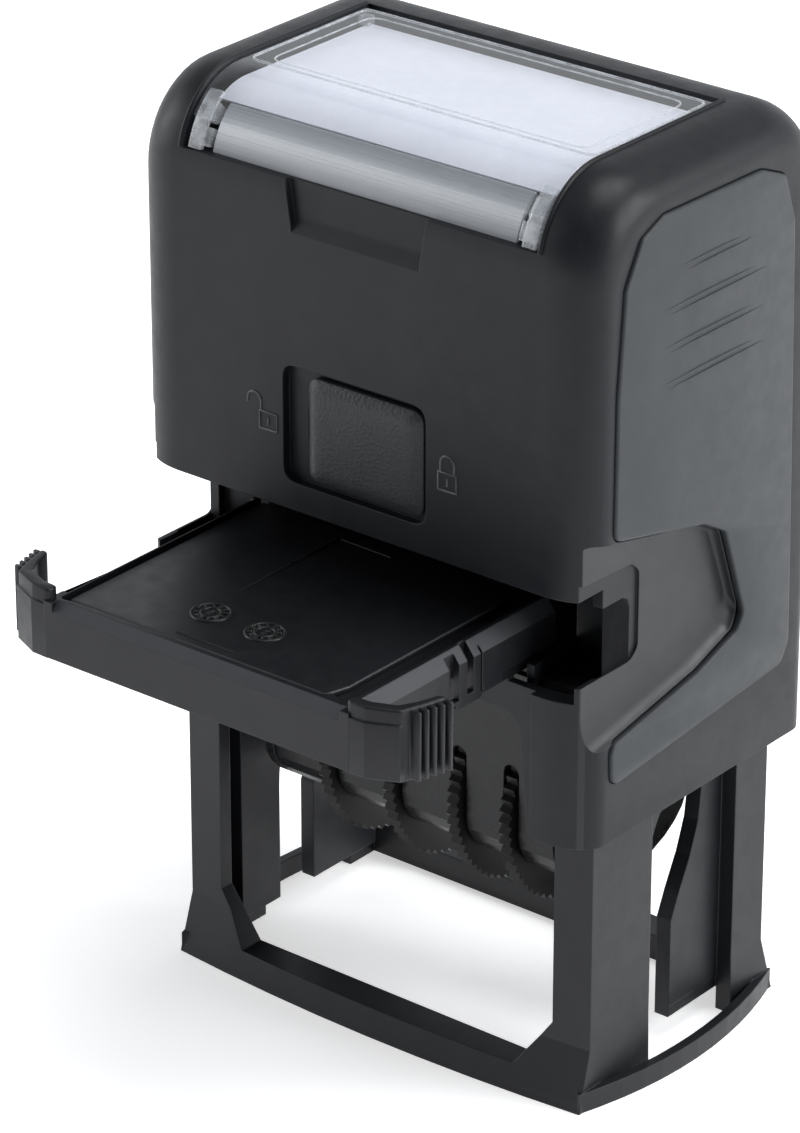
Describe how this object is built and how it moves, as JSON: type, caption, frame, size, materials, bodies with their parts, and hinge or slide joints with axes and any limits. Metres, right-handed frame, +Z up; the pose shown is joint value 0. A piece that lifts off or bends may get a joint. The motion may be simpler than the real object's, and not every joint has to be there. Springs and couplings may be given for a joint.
{
  "type": "rotary date stamp",
  "caption": "Self-inking rotary date stamp: a sprung hood turns a banded dater over from an ink cartridge onto the paper.",
  "frame": {"origin": "on the ground, in the middle of the whole object with its cartridge drawn out; the middle of the foot is at y = +0.0137", "axes": "+Z up, the way the hood rises; -Y towards the front, where the cartridge comes out; X across the stamp"},
  "size_m": [0.0654, 0.0708, 0.112],
  "materials": {
    "base_plastic": "satin moulded charcoal",
    "hood_plastic": "fine satin grain, charcoal",
    "inner_plastic": "plain black moulding",
    "button_plastic": "finely textured charcoal",
    "cartridge_plastic": "satin black moulding",
    "dater_plastic": "semi-gloss charcoal",
    "wheel_plastic": "semi-gloss black",
    "white_card": "smooth card",
    "frosted_strip": "frosted",
    "clear_cover": "clear polished plastic",
    "ink_felt": "ink-soaked felt",
    "band_rubber": "matte rubber",
    "die_rubber": "laser-cut rubber",
    "spring_steel": "bright wire",
    "axle_steel": "polished rod"
  },
  "bodies": {
    "base": {"base_frame": "base_plastic", "return_spring_left": "spring_steel", "return_spring_right": "spring_steel"},
    "hood": {"hood_shell": "hood_plastic", "yoke_bracket": "inner_plastic", "card_bed": "inner_plastic", "imprint_card": "white_card", "window_front_strip": "frosted_strip"},
    "window": {"window_cover": "clear_cover"},
    "lock": {"lock_button": "button_plastic", "lock_latch": "inner_plastic"},
    "cartridge": {"cartridge_tray": "cartridge_plastic", "ink_pad": "ink_felt"},
    "dater": {"dater_cover": "dater_plastic", "cradle_end_left": "inner_plastic", "cradle_end_right": "inner_plastic", "pivot_crank_left": "inner_plastic", "pivot_crank_right": "inner_plastic", "wheel_axle": "axle_steel", "band_platen": "inner_plastic", "die_plate": "inner_plastic", "text_die": "die_rubber", "date_band_1": "band_rubber", "date_band_2": "band_rubber", "date_band_3": "band_rubber", "date_band_4": "band_rubber"},
    "wheel_1": {"date_wheel_1": "wheel_plastic"},
    "wheel_2": {"date_wheel_2": "wheel_plastic"},
    "wheel_3": {"date_wheel_3": "wheel_plastic"},
    "wheel_4": {"date_wheel_4": "wheel_plastic"}
  },
  "joints": [
    {"name": "hood_press", "type": "slide", "parent": "base", "child": "hood", "axis": [0, 0, -1], "range_m": [0, 0.0173], "stiffness_N_per_m": 300, "springref_m": -0.02, "deforming": ["return_spring_left", "return_spring_right"]},
    {"name": "dater_turn", "type": "hinge", "parent": "hood", "child": "dater", "pos_m": [0, 0.0137, 0.03505], "axis": [1, 0, 0], "range_deg": [0, 180]},
    {"name": "cartridge_slide", "type": "slide", "parent": "hood", "child": "cartridge", "axis": [0, 1, 0], "range_m": [-0.009, 0.0272]},
    {"name": "lock_slide", "type": "slide", "parent": "hood", "child": "lock", "axis": [-1, 0, 0], "range_m": [0, 0.0033]},
    {"name": "window_hinge", "type": "hinge", "parent": "hood", "child": "window", "pos_m": [0, 0.023, 0.111], "axis": [-1, 0, 0], "range_deg": [0, 100]},
    {"name": "date_wheel_1_spin", "type": "hinge", "parent": "dater", "child": "wheel_1", "pos_m": [-0.012, 0.0137, 0.0291], "axis": [1, 0, 0], "continuous": true},
    {"name": "date_wheel_2_spin", "type": "hinge", "parent": "dater", "child": "wheel_2", "pos_m": [-0.0025, 0.0137, 0.0291], "axis": [1, 0, 0], "continuous": true},
    {"name": "date_wheel_3_spin", "type": "hinge", "parent": "dater", "child": "wheel_3", "pos_m": [0.0069, 0.0137, 0.0291], "axis": [1, 0, 0], "continuous": true},
    {"name": "date_wheel_4_spin", "type": "hinge", "parent": "dater", "child": "wheel_4", "pos_m": [0.0144, 0.0137, 0.0291], "axis": [1, 0, 0], "continuous": true}
  ],
  "couplings": [
    {"joint": "dater_turn", "follows": "hood_press", "rad_per_m": 181.59}
  ]
}
